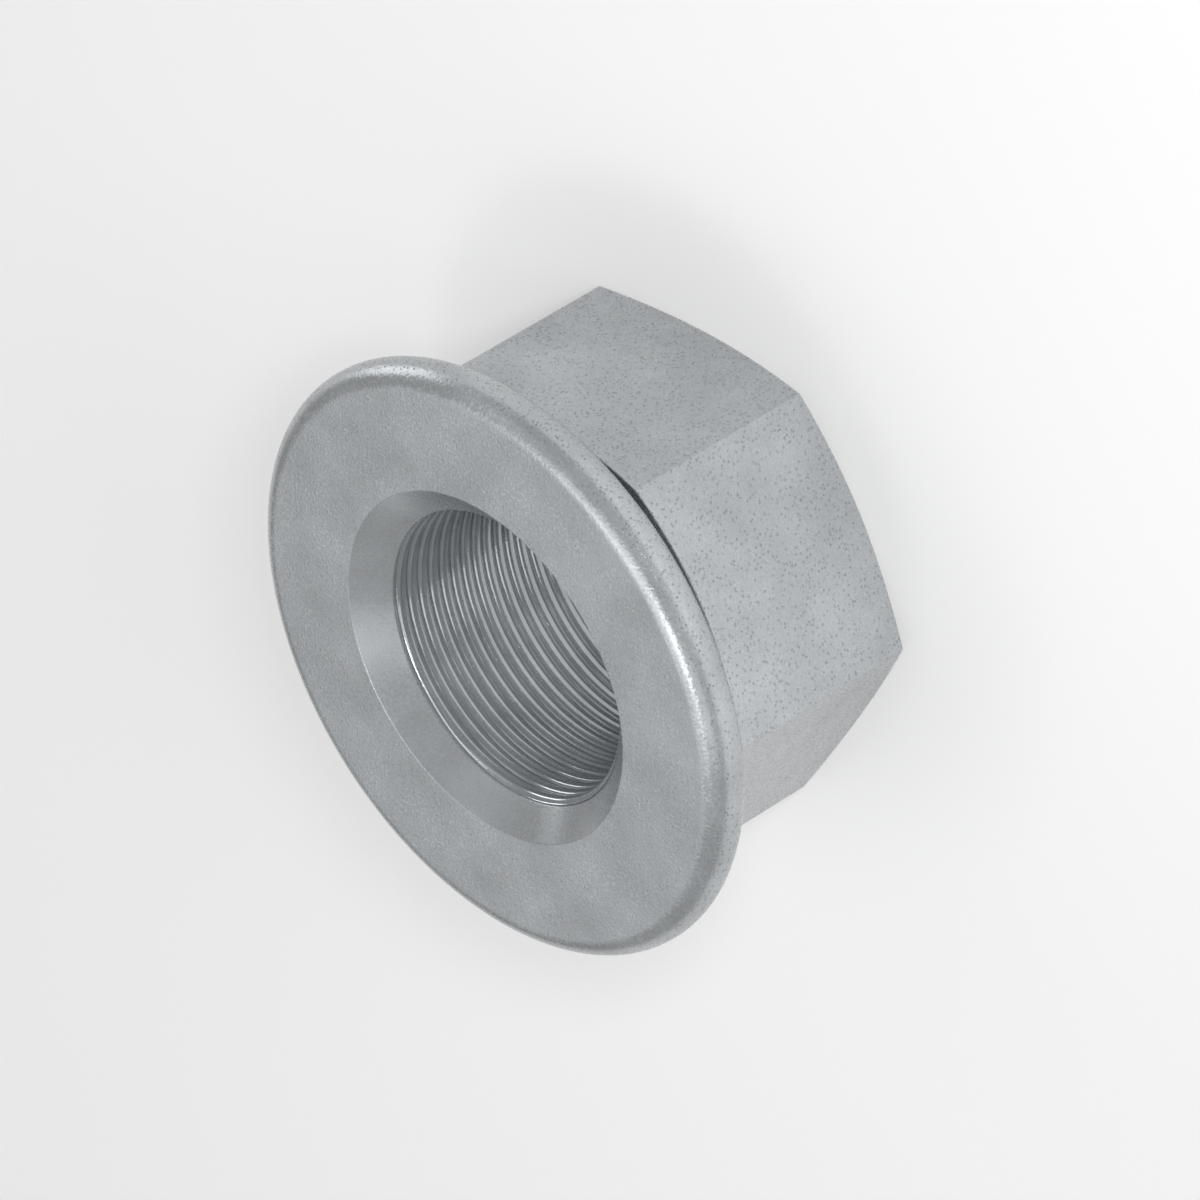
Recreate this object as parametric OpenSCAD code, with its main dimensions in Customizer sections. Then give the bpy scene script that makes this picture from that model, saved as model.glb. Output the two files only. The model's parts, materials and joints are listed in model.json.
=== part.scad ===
// Spherical collar nut, all sizes in millimetres.
// It stands on the end of its hexagon, with the bearing face of the collar on top.

/* [Hexagon] */
// Width across the flats of the hexagon
hex_af = 32; // [29:0.5:34]
// Height of the whole nut, from the hexagon's end to the bearing face
nut_h = 21.5; // [19.5:0.5:28]
// Diameter of the flat ring on the hexagon's end, where the corner chamfer starts
end_face_d = 31.2; // [27:0.1:31.8]
// Angle of the corner chamfer, from the end face
end_chamfer_a = 20; // [10:1:30]

/* [Collar] */
// Outer diameter of the collar
collar_d = 43.2; // [40.5:0.1:48]
// Thickness of the collar's rim, which is rounded over its whole thickness
rim_t = 3.3; // [2.4:0.1:4]
// Slope of the collar's conical back, from the plane of the bearing face
back_a = 28.5; // [22:0.5:33]

/* [Relief groove under the hexagon] */
// Width of the groove between the collar's back and the hexagon, square to its walls
groove_w = 0.8; // [0.5:0.1:1.2]
// Diameter of the neck at the bottom of the groove
neck_d = 29.6; // [27:0.1:30]

/* [Threaded bore] */
// Nominal diameter of the internal thread
thread_d = 22; // [18:0.5:23.5]
// Pitch of the thread
thread_pitch = 1; // [0.5:0.25:1.5]
// Diameter of the countersink's mouth in the bearing face
mouth_d = 25.7; // [24.2:0.1:30]
// Depth of the countersink in the bearing face
mouth_depth = 2.1; // [1.2:0.1:3]
// Diameter of the countersink's mouth in the hexagon's end
end_mouth_d = 23.6; // [23.6:0.1:26]
// Full angle of the countersink in the hexagon's end
end_mouth_a = 90; // [60:5:120]

/* [Hidden] */
$fn = 96;
steel = "silver";

// Basic thread triangle: a pitch-high 60 degree V loses 3/8 of its height at the crest
// and 1/4 at the root, which leaves 5/8 between the minor and the major diameter.
thread_h = thread_pitch * cos(30) * 5 / 8;
bore_r = thread_d / 2 - thread_h;

// Rim: a circle tangent to the bearing face and to the cone of the collar's back
rim_r = rim_t / 2;
rim_c = [collar_d / 2 - rim_r, nut_h - rim_r];
rim_end = rim_c + rim_r * [sin(back_a), -cos(back_a)];

// Height of the collar's back, and of the hexagon's shoulder below it, at radius r
function back_z(r) = rim_end.y - (rim_end.x - r) * tan(back_a);
function shoulder_z(r) = back_z(r) - groove_w / cos(back_a);

// The corner chamfer's height at radius r
function chamfer_z(r) = (r - end_face_d / 2) * tan(end_chamfer_a);

// Countersinks run on past the face that they open in, by this much
past = 0.5;

// Collar with its round rim, conical back and neck, all turned
module collar_and_neck() {
    rotate_extrude() {
        union() {
            square([neck_d / 2, nut_h]);
            polygon([
                [0, back_z(0)],
                rim_end,
                [rim_c.x, nut_h],
                [0, nut_h]
            ]);
            translate(rim_c) circle(r = rim_r);
        }
    }
}

// Hexagon, its corners chamfered at the end and its shoulder parallel to the collar's back
module hexagon() {
    reach = collar_d / 2;
    intersection() {
        cylinder(h = nut_h, d = hex_af / cos(30), $fn = 6);
        rotate_extrude()
            polygon([
                [0, 0],
                [end_face_d / 2, 0],
                [reach, chamfer_z(reach)],
                [reach, shoulder_z(reach)],
                [0, shoulder_z(0)]
            ]);
    }
}

// Plain hole at the thread's minor diameter, countersunk at both ends
module bore() {
    end_depth = (end_mouth_d / 2 - bore_r) / tan(end_mouth_a / 2);
    mouth_slope = (mouth_d / 2 - bore_r) / mouth_depth;
    end_slope = tan(end_mouth_a / 2);
    translate([0, 0, -past]) cylinder(h = nut_h + 2 * past, r = bore_r);
    translate([0, 0, nut_h - mouth_depth])
        cylinder(h = mouth_depth + past, r1 = bore_r, r2 = mouth_d / 2 + past * mouth_slope);
    translate([0, 0, -past])
        cylinder(h = end_depth + past, r1 = end_mouth_d / 2 + past * end_slope, r2 = bore_r);
}

module nut() {
    color(steel)
        difference() {
            union() {
                collar_and_neck();
                hexagon();
            }
            bore();
        }
}

nut();
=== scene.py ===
# %% [markdown]
# # Spherical collar nut, zinc coated
#
# The real nut is one piece of steel: a hexagon for the wrench and a wide collar that spreads
# the clamping force. A forge presses the blank, a lathe turns the collar, the countersink and
# the relief groove, a tap cuts the thread, and a bath of zinc leaves the dull, speckled coat.
#
# It could be joined from a prism, a disc and a screw with boolean modifiers, but those can
# leave slivers where a cone meets a flat wall. The lesson builds the skin as one closed
# surface instead: a section, which changes with the angle round the axis, is swept once
# round. Lengths in the formulas are millimetres, and the mesh is in metres.

import json

import bmesh
import bpy
import numpy as np
from mathutils import Matrix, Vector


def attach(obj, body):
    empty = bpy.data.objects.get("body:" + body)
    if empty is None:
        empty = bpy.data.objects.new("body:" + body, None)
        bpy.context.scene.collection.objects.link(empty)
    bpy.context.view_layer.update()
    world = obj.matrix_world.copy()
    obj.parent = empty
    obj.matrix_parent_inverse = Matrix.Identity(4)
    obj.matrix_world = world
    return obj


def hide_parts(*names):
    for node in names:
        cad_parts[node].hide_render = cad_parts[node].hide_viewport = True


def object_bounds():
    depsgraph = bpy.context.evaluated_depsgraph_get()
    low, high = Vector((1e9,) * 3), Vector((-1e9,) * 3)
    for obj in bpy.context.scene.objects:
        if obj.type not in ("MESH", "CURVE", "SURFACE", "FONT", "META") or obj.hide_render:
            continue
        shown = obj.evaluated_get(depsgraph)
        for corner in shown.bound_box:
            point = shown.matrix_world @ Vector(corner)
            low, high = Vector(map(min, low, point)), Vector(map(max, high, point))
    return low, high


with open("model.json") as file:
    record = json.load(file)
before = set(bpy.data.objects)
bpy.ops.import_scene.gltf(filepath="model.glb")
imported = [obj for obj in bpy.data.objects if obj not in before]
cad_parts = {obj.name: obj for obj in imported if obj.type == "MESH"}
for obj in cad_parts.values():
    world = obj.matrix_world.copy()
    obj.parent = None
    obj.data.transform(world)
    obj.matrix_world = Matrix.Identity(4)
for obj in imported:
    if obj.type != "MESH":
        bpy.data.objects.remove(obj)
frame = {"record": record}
cad_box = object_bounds()
MM = 0.001
box_lo, box_hi = (np.array(corner) / MM for corner in cad_box)
print("CAD box in mm:", np.round(box_lo, 3), np.round(box_hi, 3))

# %% [markdown]
# ## Sizes
#
# The height, the collar's diameter, the width across flats and the thread's minor radius are
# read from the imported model, so that the skin fits it. The smaller sizes repeat the values of
# the construction, and each stands in the cell that first needs it.

# %% Sizes of the nut
mounts = {m["name"]: m for m in frame["record"]["mounts"]}
NUT_H = box_hi[2] - box_lo[2]
COLLAR_R = (box_hi[0] - box_lo[0]) / 2
HEX_R = mounts["wrench_flat"]["pos_m"][1] / MM
MINOR_R = mounts["thread"]["dims"]["r_mm"]
print(f"height {NUT_H:.2f}, collar {2 * COLLAR_R:.2f}, across flats {2 * HEX_R:.2f}")

# %% [markdown]
# ## Directions round the axis
#
# Wrench corners are never razor sharp: forging and the zinc leave them a little round. A
# Bevel modifier could round them, but it can leave uneven faces where they meet the curved
# edges of the shoulder. Here the radius of the hexagon's wall is a function of the direction,
# and the sweep takes more steps in the narrow corners than along the flats, where a straight
# step between two columns already lies exactly in the flat.

# %% Hexagon's radius in each direction
CORNER_R = 0.12
SIXTH = np.pi / 3
corner_c = (HEX_R - CORNER_R) / np.cos(SIXTH / 2)
corner_half = np.arctan2(CORNER_R / 2, corner_c + CORNER_R * np.cos(SIXTH / 2))


def hexagon_radius(phi):
    """Distance from the axis to the hexagon's wall in direction phi.

    Within a sixth of a turn the wall is a flat, HEX_R / cos(angle from the flat's middle).
    Near a corner it is a circle of radius CORNER_R tangent to both flats, whose centre lies
    c = (HEX_R - CORNER_R) / cos 30 out, so r = c cos d + sqrt(CORNER_R^2 - (c sin d)^2) at
    the angle d from the corner.
    """
    d = (phi + SIXTH / 2) % SIXTH - SIXTH / 2
    flat = HEX_R / np.cos(SIXTH / 2 - np.abs(d))
    inside = np.maximum(CORNER_R**2 - (corner_c * np.sin(d)) ** 2, 0)
    rounded = corner_c * np.cos(d) + np.sqrt(inside)
    return np.where(np.abs(d) <= corner_half, rounded, flat)


# %% Angles of the columns
CORNER_COLUMNS = 6
FLAT_COLUMNS = 37
BESIDE_CORNER = 1.6
beside_corner = corner_half * BESIDE_CORNER
in_corner = np.linspace(-corner_half, corner_half, CORNER_COLUMNS)
along_flat = np.linspace(corner_half, SIXTH - corner_half, FLAT_COLUMNS)
sector = np.r_[in_corner, beside_corner, along_flat[1:-1], SIXTH - beside_corner]
phi = (np.arange(6)[:, None] * SIXTH + sector[None, :]).ravel()
phi = np.r_[phi, phi[0] + 2 * np.pi]
hex_r = hexagon_radius(phi)
print(f"{len(phi)} columns, hexagon radius {hex_r.min():.3f} to {hex_r.max():.3f}")

# %% [markdown]
# ## The turned and forged outside
#
# The section is a line with straight runs and rounded corners. It could be drawn as a curve
# and spun, but a spun curve is the same all round, and a hexagon isn't. So each corner of the
# line is an array with one point in each direction. The rim is the largest of these corners:
# the collar's back and its bearing face meet in a point outside the collar, and a circle of
# the rim's radius rounds that point off, tangent to both.

# %% Line with rounded corners
NEAR_ARC = 0.07


def unit(v):
    """Vectors of length one in the direction of v, along the last axis."""
    return v / np.linalg.norm(v, axis=-1, keepdims=True)


def near_arc(run):
    """Share of a straight run that lies within NEAR_ARC of its end, a quarter at most."""
    return np.minimum(NEAR_ARC / run, 0.25)


def rounded_section(corners, radii, steps):
    """Rows of points along a line through the corners, each corner rounded by its radius.

    corners is (corner, column, 2). An arc of radius p turns the line by its angle a from
    direction u to v. It starts p tan(a/2) before the corner, and its point after turning by
    t is start + p (sin t u + (1 - cos t) n), where n is the part of v square to u. Straight
    runs get a row close to each arc, which keeps the shading of the flat parts flat.
    """
    rows = [corners[0]]
    for k in range(1, len(corners) - 1):
        last = rows[-1]
        u = unit(corners[k] - corners[k - 1])
        v = unit(corners[k + 1] - corners[k])
        cos_a = np.sum(u * v, axis=-1, keepdims=True)
        turn = np.arccos(cos_a)
        n = unit(v - cos_a * u)
        start = corners[k] - radii[k] * np.tan(turn / 2) * u
        near = near_arc(np.linalg.norm(start - last, axis=-1, keepdims=True))
        for s in (near, 0.5, 1 - near):
            rows.append(last + s * (start - last))
        for s in np.linspace(0, 1, steps[k]):
            t = s * turn
            rows.append(start + radii[k] * (np.sin(t) * u + (1 - np.cos(t)) * n))
    last = rows[-1]
    near = near_arc(np.linalg.norm(corners[-1] - last, axis=-1, keepdims=True))
    for s in (near, 0.5, 1):
        rows.append(last + s * (corners[-1] - last))
    return np.array(rows)


# %% Collar's rim, back and groove
RIM_R = 1.65
BACK_A = np.radians(28.5)
GROOVE_W = 0.8
NECK_R = 14.8
rim_c = np.array([COLLAR_R - RIM_R, NUT_H - RIM_R])
rim_end = rim_c + RIM_R * np.array([np.sin(BACK_A), -np.cos(BACK_A)])
rim_point = rim_end[0] + (NUT_H - rim_end[1]) / np.tan(BACK_A)


def back_z(r):
    """Height of the collar's conical back at the radius r."""
    return rim_end[1] - (rim_end[0] - r) * np.tan(BACK_A)


def shoulder_z(r):
    """Height of the hexagon's shoulder at the radius r, the groove's width below the back."""
    return back_z(r) - GROOVE_W / np.cos(BACK_A)


print(f"groove from {shoulder_z(NECK_R):.2f} to {back_z(NECK_R):.2f} mm high at the neck")

# %% Countersinks and the whole section
MOUTH_R = 12.85
MOUTH_DEPTH = 2.1
END_MOUTH_R = 11.8
BORE_ROOM = 11.3
END_FACE_R = 15.6
CHAMFER_SLOPE = np.tan(np.radians(20))
mouth_slope = (MOUTH_R - MINOR_R) / MOUTH_DEPTH
bore_top = NUT_H - (MOUTH_R - BORE_ROOM) / mouth_slope
bore_bottom = END_MOUTH_R - BORE_ROOM

# Radius, height, edge radius and rows of each corner, from the lower countersink outwards,
# up and back to the upper one. The line starts and ends where the tapped bore takes over.
section = [
    (BORE_ROOM, bore_bottom, 0, 0),
    (END_MOUTH_R, 0, 0.12, 5),
    (END_FACE_R, 0, 0.3, 4),
    (hex_r, (hex_r - END_FACE_R) * CHAMFER_SLOPE, 0.16, 6),
    (hex_r, shoulder_z(hex_r), 0.1, 6),
    (NECK_R, shoulder_z(NECK_R), 0.15, 6),
    (NECK_R, back_z(NECK_R), 0.15, 5),
    (rim_point, NUT_H, RIM_R, 27),
    (MOUTH_R, NUT_H, 0.1, 6),
    (BORE_ROOM, bore_top, 0, 0),
]
all_round = np.ones_like(phi)
outside = rounded_section(
    np.array([np.stack([r * all_round, z * all_round], axis=-1) for r, z, _, _ in section]),
    [edge_r for _, _, edge_r, _ in section],
    [steps for _, _, _, steps in section],
)
print("outside rows and columns:", outside.shape[:2])

# %% [markdown]
# ## The tapped bore
#
# A tap with one start cuts a right-hand helix. A Screw modifier could wind one, but it would
# stay apart from the countersinks. Here the rows of the bore climb one pitch in a turn and
# follow the thread's crests. Where the helix would leave the bore, the rows stop at the
# circle in the countersink, and the points that then coincide are merged.

# %% Section of the thread
PITCH = 1.0
THREAD_DEPTH = PITCH * np.cos(np.radians(30)) * 5 / 8
CREST_POWER = 3.5


def groove(turns):
    """Depth of the thread's groove, from 0 on its crest to THREAD_DEPTH at its root.

    turns counts pitches along the axis. Zinc collects on the crests and rounds them, so the
    depth is THREAD_DEPTH (2 y) ^ CREST_POWER at y pitches from the middle of a crest: flat
    on the crest, steep towards the narrow root half a pitch away.
    """
    y = np.abs((turns + 0.5) % 1 - 0.5)
    return THREAD_DEPTH * (2 * y) ** CREST_POWER


def larger(a, b, k=0.02):
    """The larger of a and b, with the crease between them softened over about k.

    It is their mean plus half the distance between them, sqrt((a - b)^2 + k^2) / 2.
    """
    return (a + b + np.sqrt((a - b) ** 2 + k**2)) / 2


# %% Rows of the bore
# GROOVE_AT starts the thread so that its rings lie where the photograph shows them. The rows
# fill one pitch more than the bore, because each climbs a pitch in its turn.
ROWS_PER_PITCH = 12
GROOVE_AT = 0.68
lead = PITCH * (phi - phi[0]) / (2 * np.pi)
count = int(np.ceil((bore_top - bore_bottom) / PITCH + 1) * ROWS_PER_PITCH)
fall = np.arange(1, count)[:, None] * PITCH / ROWS_PER_PITCH
bore_z = np.clip(bore_top - fall + lead, bore_bottom, bore_top)
thread_r = MINOR_R + groove((bore_z - lead) / PITCH + GROOVE_AT)
mouth_cone = MINOR_R + (bore_z - (NUT_H - MOUTH_DEPTH)) * mouth_slope
end_cone = END_MOUTH_R - bore_z
cone_r = larger(mouth_cone, end_cone)
bore_r = larger(thread_r, cone_r)
bore_r[(bore_z == bore_top) | (bore_z == bore_bottom)] = BORE_ROOM
bore = np.stack([bore_r, bore_z], axis=-1)
print("bore rows:", len(bore), "radius", round(bore_r.min(), 3), round(bore_r.max(), 3))

# %% [markdown]
# ## One closed skin
#
# The rows of the outside and of the bore follow each other round the section and close on
# themselves, so the grid needs no caps. A number on each face tells the material how smooth
# the coat is there, and where the thread's colour gets painted light: 0 for the outside, 1 for
# the countersinks, 2 for the thread. Three materials could do that too, but the coat is one
# finish, and its grain runs on across them.


# %% Mesh of the skin
def skin(name, rows, finish):
    """A closed mesh from rows of (radius, height) points, one point in each direction phi.

    A point's place is (r cos phi, r sin phi, z). Row i joins row i + 1, and the last row
    joins the first. The last column repeats the first, shifted by a pitch on the thread, and
    merging points at the same place closes the seam. finish has a number for each point, and
    the face that starts there, towards the next row and column, takes it as its attribute.
    """
    n_rows, n_cols = rows.shape[:2]
    r, z = rows[..., 0], rows[..., 1]
    places = np.stack([r * np.cos(phi), r * np.sin(phi), z], axis=-1) * MM
    i, j = np.meshgrid(np.arange(n_rows), np.arange(n_cols - 1), indexing="ij")
    down = (i + 1) % n_rows
    quads = np.stack(
        [i * n_cols + j, i * n_cols + j + 1, down * n_cols + j + 1, down * n_cols + j], axis=-1
    ).reshape(-1, 4)
    mesh = bpy.data.meshes.new(name)
    mesh.vertices.add(places.size // 3)
    mesh.vertices.foreach_set("co", places.ravel())
    mesh.loops.add(quads.size)
    mesh.loops.foreach_set("vertex_index", quads.ravel())
    mesh.polygons.add(len(quads))
    mesh.polygons.foreach_set("loop_start", np.arange(len(quads)) * 4)
    mesh.update(calc_edges=True)
    layer = mesh.attributes.new("cut", "FLOAT", "FACE")
    layer.data.foreach_set("value", finish[:, :-1].ravel())
    obj = bpy.data.objects.new(name, mesh)
    bpy.context.scene.collection.objects.link(obj)
    return obj


def close_seams(obj):
    """Merges points that lie within a micrometre and drops the faces that this empties.

    It turns the faces outwards, shades them smooth and returns the number of edges that
    haven't two faces, and the volume inside in mm3.
    """
    work = bmesh.new()
    work.from_mesh(obj.data)
    bmesh.ops.remove_doubles(work, verts=work.verts, dist=0.001 * MM)
    bmesh.ops.recalc_face_normals(work, faces=work.faces)
    open_edges = sum(len(edge.link_faces) != 2 for edge in work.edges)
    volume = work.calc_volume(signed=True) / MM**3
    work.to_mesh(obj.data)
    work.free()
    obj.data.polygons.foreach_set("use_smooth", [True] * len(obj.data.polygons))
    return open_edges, volume


# %% Nut's skin
END_CONE_ROWS = 4
MOUTH_CONE_ROWS = 6
rows = np.concatenate([outside, bore])
finish = np.zeros(rows.shape[:2])
finish[:END_CONE_ROWS] = 1
finish[len(outside) - MOUTH_CONE_ROWS : len(outside)] = 1
finish[len(outside) :] = np.where(cone_r > thread_r, 1, 2)
nut = skin("nut_skin", rows, finish)
open_edges, volume = close_seams(nut)
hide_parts("nut")
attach(nut, "root")
triangles = sum(len(face.vertices) - 2 for face in nut.data.polygons)
print(f"nut_skin: {open_edges} open edges, volume {volume:.1f} mm3, {triangles} triangles")

# %% [markdown]
# ## The zinc coat
#
# Zinc from a bath is dull and slightly blue. It freezes in small grains, so the coat shows
# clouds a few millimetres wide, light specks and round pits a sixth of a millimetre across.
# The specks are painted glints on the grain's peaks, and the pits are real dents with painted
# shade in them. The hexagon and the rim have most of the pits, the bearing face most of the
# specks. Where a tool has cut the countersinks and the thread, both are a fifth as strong, and
# the thread is shinier, with painted light in its colour against the shade of the bore.
#
# A picture of zinc could be wrapped round the nut, but it would stretch and show a seam. The
# coat is worked out from noise and cells in the nut's own space instead, which has neither.


# %% Node helpers
def node(tree, kind, place, inputs=None, **settings):
    """A shader node of that kind with its settings and its own input values."""
    new = tree.nodes.new(kind)
    new.location = place
    for name, value in settings.items():
        setattr(new, name, value)
    for name, value in (inputs or {}).items():
        new.inputs[name].default_value = value
    return new


def link(tree, source, target):
    """Joins an output to an input, each given as (node, socket name or number)."""
    tree.links.new(source[0].outputs[source[1]], target[0].inputs[target[1]])


def ramp(tree, source, place, low, high, out_low, out_high, steps="LINEAR"):
    """The value of source, stretched from low..high to out_low..out_high and clipped."""
    new = node(
        tree,
        "ShaderNodeMapRange",
        place,
        {"From Min": low, "From Max": high, "To Min": out_low, "To Max": out_high},
        interpolation_type=steps,
    )
    link(tree, source, (new, "Value"))
    return new, "Result"


def combine(tree, operation, a, b, place):
    """a and b joined by a math operation, where b may be a plain number."""
    new = node(tree, "ShaderNodeMath", place, operation=operation)
    link(tree, a, (new, 0))
    if isinstance(b, tuple):
        link(tree, b, (new, 1))
    else:
        new.inputs[1].default_value = b
    return new, "Value"


def product(tree, factors, place):
    """The factors multiplied one after the other, in nodes that run on to the right."""
    x, y = place
    result = factors[0]
    for factor in factors[1:]:
        result = combine(tree, "MULTIPLY", result, factor, (x, y))
        x += 200
    return result


def empty_tree(owner):
    """The node tree of a material or a world, without its first nodes."""
    owner.use_nodes = True
    owner.node_tree.nodes.clear()
    return owner.node_tree


# %% Specks and pits
SPECK_PEAKS = (0.54, 0.62)
# The most a speck raises the colour: a painted glint on the peak of the grain.
SPECK_PAINTED_GLINT = 0.26
PATCH_NOISE = (0.5, 3.0)
PATCH_EDGES = (0.35, 0.65)
PATCH_RANGE = (0.25, 1.0)
PITS_PER_MM = 3.3
PIT_EDGE = (0.12, 0.40)
PIT_LOTS = (0.10, 0.40)


def noise(tree, in_mm, waves_and_detail, y):
    """Noise from 0 to 1, given by its waves in a millimetre and its octaves of detail."""
    scale, detail = waves_and_detail
    texture = node(tree, "ShaderNodeTexNoise", (-1200, y), {"Scale": scale, "Detail": detail})
    link(tree, in_mm, (texture, "Vector"))
    return texture, "Fac"


def specks(tree, in_mm, grain):
    """Painted glints: how much the colour rises on the grain's peaks, more in some patches.

    It rises from 0 to SPECK_PAINTED_GLINT where the grain goes from the first of SPECK_PEAKS to
    the second. A wider noise, clipped at PATCH_EDGES, scales it between the PATCH_RANGE values.
    """
    peaks = ramp(tree, grain, (-900, 300), *SPECK_PEAKS, 0.0, SPECK_PAINTED_GLINT)
    blotches = noise(tree, in_mm, PATCH_NOISE, 0)
    patches = ramp(tree, blotches, (-900, 0), *PATCH_EDGES, *PATCH_RANGE)
    return combine(tree, "MULTIPLY", peaks, patches, (-500, 200))


def pits(tree, in_mm):
    """1 in the middle of a pit, fading to 0 at its edge.

    Space is divided into cells. The value falls from 1 to 0 between the two distances of
    PIT_EDGE from a cell's middle. A cell's random number, the red of its colour, scales it:
    0 up to the first of PIT_LOTS, so that the cell has no pit, and 1 from the second on.
    """
    cells = node(tree, "ShaderNodeTexVoronoi", (-1200, -300), {"Scale": PITS_PER_MM})
    link(tree, in_mm, (cells, "Vector"))
    dent = ramp(tree, (cells, "Distance"), (-900, -300), *PIT_EDGE, 1.0, 0.0, "SMOOTHSTEP")
    lot = node(tree, "ShaderNodeSeparateColor", (-900, -600))
    link(tree, (cells, "Color"), (lot, "Color"))
    drawn = ramp(tree, (lot, "Red"), (-700, -600), *PIT_LOTS, 0.0, 1.0)
    return combine(tree, "MULTIPLY", dent, drawn, (-500, -400))


# %% Where the coat changes
CUT_KEEPS = 0.2
FACE_EDGE = (NUT_H - 0.9, NUT_H - 0.1)
FACE_KEEPS = 0.3
SIDES_KEEP = 0.3


def on_thread(tree, cut, place, elsewhere, thread):
    """The first value outside the thread and the second on it."""
    return ramp(tree, cut, place, 1.0, 2.0, elsewhere, thread)


def kept_by_face(tree, in_mm):
    """Shares of the pits, with their painted shade, and of the specks' painted glints, kept at
    each height.

    Both change linearly between the two heights of FACE_EDGE, near the top of the rim: pits
    from 1 on the sides to FACE_KEEPS on the bearing face, specks from SIDES_KEEP to 1.
    """
    height = node(tree, "ShaderNodeSeparateXYZ", (-1200, -1100))
    link(tree, in_mm, (height, "Vector"))
    face = ramp(tree, (height, "Z"), (-900, -1100), *FACE_EDGE, 0.0, 1.0)
    pits_kept = ramp(tree, face, (-700, -1100), 0.0, 1.0, 1.0, FACE_KEEPS)
    specks_kept = ramp(tree, face, (-700, -1300), 0.0, 1.0, SIDES_KEEP, 1.0)
    return pits_kept, specks_kept


# %% Zinc material
ZINC_COLOUR = (0.44, 0.46, 0.475)
CLOUD_NOISE = (0.22, 4.0)
CLOUD_SHADES = (0.90, 1.10)
GRAIN_NOISE = (4.6, 1.5)
# Colour left in a pit's middle: painted shade in the dent.
PIT_PAINTED_SHADE = 0.62
# Painted light: the thread's colour is raised against the shade deep in the bore.
THREAD_PAINTED_LIGHT = 1.45
ROUGHNESS = (0.22, 0.32)
THREAD_POLISH = 0.55
METALLIC = (0.52, 0.85)
RELIEF = 0.018 * MM
NOISE_RANGE = (0.3, 0.7)


def zinc():
    """Zinc coat in colour, metallic share, roughness and relief.

    shade = clouds x (1 + specks) x (1 without a pit, PIT_PAINTED_SHADE in its middle) x
    THREAD_PAINTED_LIGHT on the thread. The specks are painted glints, PIT_PAINTED_SHADE is
    painted shade in the pits and
    THREAD_PAINTED_LIGHT is painted light against the shade of the bore. roughness = ROUGHNESS by
    the grain x THREAD_POLISH on the thread. relief = grain - pits. The attribute cut is 0 on the
    outside, 1 on a countersink and 2 on the thread, and from 1 on specks, pits and the grain's
    relief are CUT_KEEPS times as strong.
    """
    material = bpy.data.materials.new("zinc_steel")
    tree = empty_tree(material)
    out = node(tree, "ShaderNodeOutputMaterial", (1500, 0))
    shader = node(tree, "ShaderNodeBsdfPrincipled", (1200, 0))
    link(tree, (shader, "BSDF"), (out, "Surface"))
    place = node(tree, "ShaderNodeTexCoord", (-1800, 0))
    scaled = node(tree, "ShaderNodeMapping", (-1600, 0), {"Scale": (1 / MM, 1 / MM, 1 / MM)})
    link(tree, (place, "Object"), (scaled, "Vector"))
    in_mm = (scaled, "Vector")
    cut = (node(tree, "ShaderNodeAttribute", (-1200, -900), attribute_name="cut"), "Fac")
    forged = ramp(tree, cut, (-900, -900), 0.0, 1.0, 1.0, CUT_KEEPS)
    pits_kept, specks_kept = kept_by_face(tree, in_mm)

    billows = noise(tree, in_mm, CLOUD_NOISE, 600)
    clouds = ramp(tree, billows, (-900, 600), *NOISE_RANGE, *CLOUD_SHADES)
    grain = noise(tree, in_mm, GRAIN_NOISE, 300)
    # Painted glints on the grain's peaks, where the relief would catch the light.
    painted_glints = product(tree, [specks(tree, in_mm, grain), forged, specks_kept], (-300, 200))
    dents = product(tree, [pits(tree, in_mm), forged, pits_kept], (-300, -400))

    # Colour factor of one plus the painted glints.
    painted_glint_light = combine(tree, "ADD", painted_glints, 1.0, (100, 200))
    # Painted shade in the pits, over the real dents that the relief also carves.
    painted_pit_shade = ramp(tree, dents, (100, -400), 0.0, 1.0, 1.0, PIT_PAINTED_SHADE)
    # Painted light on the thread, against the shade in the bore.
    thread_painted_light = on_thread(tree, cut, (100, 0), 1.0, THREAD_PAINTED_LIGHT)
    shade = product(tree, [clouds, painted_glint_light, painted_pit_shade, thread_painted_light], (300, 300))
    colour = node(tree, "ShaderNodeVectorMath", (900, 300), operation="SCALE")
    colour.inputs[0].default_value = ZINC_COLOUR
    link(tree, shade, (colour, "Scale"))
    link(tree, (colour, "Vector"), (shader, "Base Color"))

    rough = ramp(tree, grain, (500, -100), *NOISE_RANGE, *ROUGHNESS)
    polish = on_thread(tree, cut, (500, -300), 1.0, THREAD_POLISH)
    link(tree, combine(tree, "MULTIPLY", rough, polish, (700, -200)), (shader, "Roughness"))
    link(tree, on_thread(tree, cut, (700, -500), *METALLIC), (shader, "Metallic"))
    fine = combine(tree, "MULTIPLY", grain, forged, (100, -200))
    surface = combine(tree, "SUBTRACT", fine, dents, (300, -300))
    relief = node(tree, "ShaderNodeBump", (900, -300), {"Strength": 1.0, "Distance": RELIEF})
    link(tree, surface, (relief, "Height"))
    link(tree, (relief, "Normal"), (shader, "Normal"))
    return material


nut.data.materials.append(zinc())
coat = nut.data.materials[0]
print("material:", coat.name, "with", len(coat.node_tree.nodes), "nodes")

# %% [markdown]
# ## Floor and sky
#
# The photograph's ground is plain white. A flat plane would do for its view, but a low view
# would show the horizon, so the floor is a wide bowl whose edge bends up. It is matt and
# keeps the nut's shadow. Where the camera or a reflection sees it, a glow lifts it towards
# white, more so away from the nut. The rays that light matt surfaces don't meet the glow, so
# it doesn't wash out the shadow. The sky is weak and even, and softens the shadows.


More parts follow.
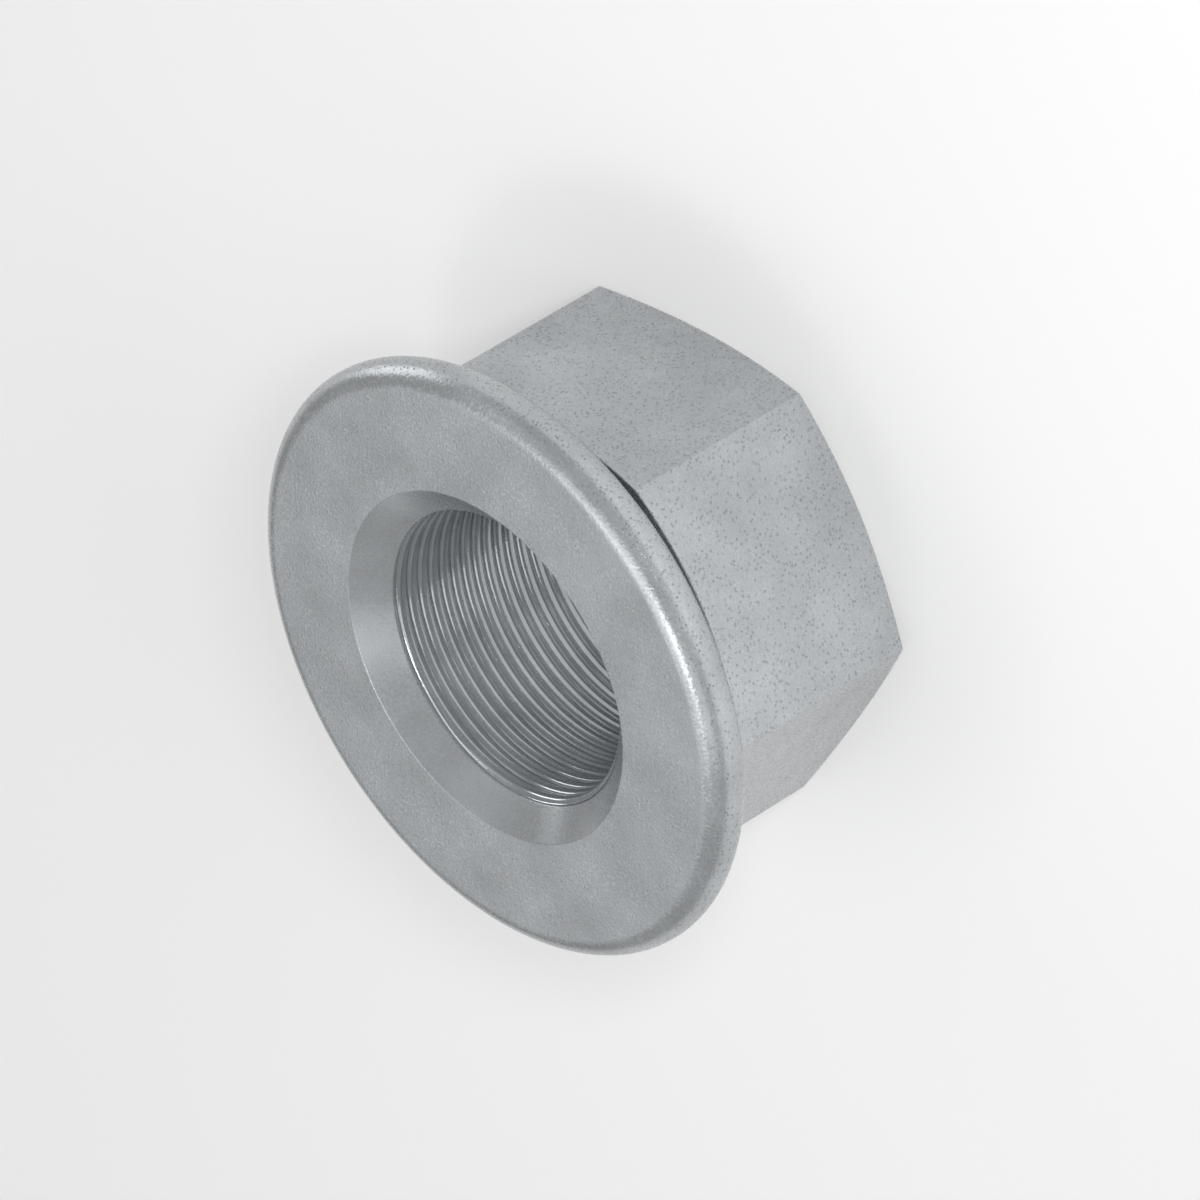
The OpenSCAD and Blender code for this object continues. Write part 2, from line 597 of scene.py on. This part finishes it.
# %% Floor
def bowl(name, radius, bend_r, height, steps=96, bend_rows=12):
    """A flat round floor whose edge bends up into a wall, so that no horizon shows.

    Its profile runs flat from the axis, turns up by a quarter circle of radius bend_r and
    goes on to the height. A point is (r cos a, r sin a, z) for each of the angles a.
    """
    bend = np.linspace(0, np.pi / 2, bend_rows)
    r = np.r_[0, radius - bend_r * (1 - np.sin(bend)), radius]
    z = np.r_[0, bend_r * (1 - np.cos(bend)), height]
    a = np.arange(steps) * 2 * np.pi / steps
    places = np.stack(
        [r[:, None] * np.cos(a), r[:, None] * np.sin(a), z[:, None] + 0 * a], axis=-1
    )
    i, j = np.meshgrid(np.arange(len(r) - 1), np.arange(steps), indexing="ij")
    k = (j + 1) % steps
    quads = np.stack([i * steps + j, i * steps + k, (i + 1) * steps + k, (i + 1) * steps + j], -1)
    mesh = bpy.data.meshes.new(name)
    mesh.from_pydata(places.reshape(-1, 3).tolist(), [], quads.reshape(-1, 4).tolist())
    obj = bpy.data.objects.new(name, mesh)
    bpy.context.scene.collection.objects.link(obj)
    return obj


FLOOR_RADIUS = 1.5
floor = bowl("floor", FLOOR_RADIUS, bend_r=0.15, height=0.2)
rim_edges, _ = close_seams(floor)
print(f"floor: {len(floor.data.polygons)} faces, open along the {rim_edges} edges of its rim")

# %% Floor's material
FLOOR_GREY = 0.55
FLOOR_LIFT = (0.39, 0.72)
LIFT_FROM_TO = (0.2, 1.0)
WHITE = (1, 1, 1, 1)


def seen_directly(tree):
    """1 for camera, glossy and transmission rays, and 0 for the rest."""
    path = node(tree, "ShaderNodeLightPath", (-1000, 100))
    seen = combine(
        tree, "MAXIMUM", (path, "Is Camera Ray"), (path, "Is Glossy Ray"), (-800, 100)
    )
    return combine(tree, "MAXIMUM", seen, (path, "Is Transmission Ray"), (-600, 100))


def pale_floor():
    """Matt grey plus a glow for what sees it directly.

    The glow's strength grows linearly with the distance from the nut, between the two
    distances of LIFT_FROM_TO in metres, from the first to the second value of FLOOR_LIFT.
    """
    material = bpy.data.materials.new("pale_floor")
    tree = empty_tree(material)
    out = node(tree, "ShaderNodeOutputMaterial", (600, 0))
    grey = (FLOOR_GREY, FLOOR_GREY, FLOOR_GREY, 1)
    matt = node(tree, "ShaderNodeBsdfDiffuse", (0, 100), {"Color": grey})
    glow = node(tree, "ShaderNodeEmission", (0, -100), {"Color": WHITE})
    place = node(tree, "ShaderNodeTexCoord", (-1200, -400))
    from_nut = node(tree, "ShaderNodeVectorMath", (-1000, -400), operation="LENGTH")
    link(tree, (place, "Object"), (from_nut, 0))
    lift = ramp(tree, (from_nut, "Value"), (-800, -400), *LIFT_FROM_TO, *FLOOR_LIFT)
    strength = combine(tree, "MULTIPLY", seen_directly(tree), lift, (-200, -100))
    link(tree, strength, (glow, "Strength"))
    total = node(tree, "ShaderNodeAddShader", (300, 0))
    link(tree, (matt, "BSDF"), (total, 0))
    link(tree, (glow, "Emission"), (total, 1))
    link(tree, (total, "Shader"), (out, "Surface"))
    return material


floor.data.materials.append(pale_floor())
print("material:", floor.data.materials[0].name)

# %% Sky
SKY_STRENGTH = 0.18
world = bpy.data.worlds.new("studio")
bpy.context.scene.world = world
world_tree = empty_tree(world)
sky_out = node(world_tree, "ShaderNodeOutputWorld", (600, 0))
sky = node(
    world_tree, "ShaderNodeBackground", (0, 0), {"Color": WHITE, "Strength": SKY_STRENGTH}
)
link(world_tree, (sky, "Background"), (sky_out, "Surface"))
print("sky: even white, strength", SKY_STRENGTH)

# %% [markdown]
# ## Lamps
#
# The nut is lit by a large soft box overhead, by a strip and a small lamp beside it, which
# are brighter for their size and add highlights, and by soft lamps on the other sides. A
# picture of a studio could light it as a sky, but lamps are plainer to read and to move: each
# stands in one direction from the nut. The flats would mirror a lamp near the camera as
# glare, so the two that brighten the groove and the flats stay out of reflections.


# %% Soft lamps
def placed(right, up, back, place):
    """The matrix that turns an object to these three axes and puts it at the place."""
    matrix = np.eye(4)
    matrix[:3] = np.stack([right, up, back, place], axis=1)
    return Matrix(matrix.tolist())


def lamp(name, towards, size, power, mirrored=True, distance=0.6, aim=(0, 0, 0.0155)):
    """A rectangular soft lamp at that distance in the direction towards, facing the aim.

    Its width is square to that direction and to a line along Y that is tipped up a little, so
    an overhead lamp is wide along X. A lamp that isn't mirrored lights the matt part of a
    surface only, so that it leaves no glare on the metal.
    """
    data = bpy.data.lights.new(name, "AREA")
    data.shape = "RECTANGLE"
    data.size, data.size_y = size
    data.energy = power
    obj = bpy.data.objects.new(name, data)
    bpy.context.scene.collection.objects.link(obj)
    obj.visible_glossy = mirrored
    back = unit(np.array(towards, float))
    side = unit(np.cross(LAMP_UP, back))
    place = np.array(aim) + back * distance
    obj.matrix_world = placed(side, np.cross(back, side), back, place)
    return obj


LAMP_UP = (0, 1, 0.1)
LARGE = (0.5, 0.5)
STRIP = (0.5, 0.1)
MEDIUM = (0.3, 0.3)
SMALL = (0.1, 0.1)
TINY = (0.04, 0.04)
lamps = [
    lamp("lamp_softbox", (-0.08, -0.18, 0.98), LARGE, 0.82),
    lamp("lamp_strip", (-0.20, -0.20, 0.95), STRIP, 0.21),
    lamp("lamp_top", (0.185, -0.139, 0.973), SMALL, 0.31),
    lamp("lamp_back", (-0.50, -0.50, 0.70), MEDIUM, 0.14),
    lamp("lamp_left", (-0.40, 0.45, 0.80), MEDIUM, 0.06),
    lamp("lamp_right", (0.60, -0.20, 0.78), MEDIUM, 0.20),
    lamp("lamp_side", (-0.93, 0.33, 0.15), MEDIUM, 0.56),
    lamp("lamp_fill", (0.603, 0.603, 0.5225), TINY, 0.40, mirrored=False, distance=0.3),
    lamp("lamp_flats", (0.80, 0.45, 0.20), MEDIUM, 1.6, mirrored=False),
]
print(f"{len(lamps)} lamps, {sum(obj.data.energy for obj in lamps):.2f} W together")

# %% [markdown]
# ## Camera
#
# The photograph was taken with a long lens, turned so that the nut's axis runs towards the
# lower left of the frame. A camera that tracks an empty could look the same way, but its turn
# about its own line of sight would need one more constraint. Its axes are written down
# instead: to the right and back from the scene, and up is square to both.

# %% Camera as found from the photograph
SENSOR_MM = 36
LENS_MM = 289.41
CAMERA_AT = (372.65, 372.35, 371.60)
CAMERA_RIGHT = (0.70638, -0.02127, -0.70751)
CAMERA_BACK = (0.58356, 0.58320, 0.56510)
data = bpy.data.cameras.new("camera")
data.sensor_width = SENSOR_MM
data.lens = LENS_MM
data.clip_start = 0.01
data.clip_end = 20
camera = bpy.data.objects.new("camera", data)
bpy.context.scene.collection.objects.link(camera)
right = unit(np.array(CAMERA_RIGHT))
back = unit(np.array(CAMERA_BACK))
camera.matrix_world = placed(right, np.cross(back, right), back, np.array(CAMERA_AT) * MM)
bpy.context.scene.camera = camera
bpy.context.scene.view_settings.view_transform = "Standard"
print("camera looks along", np.round(-back, 3))
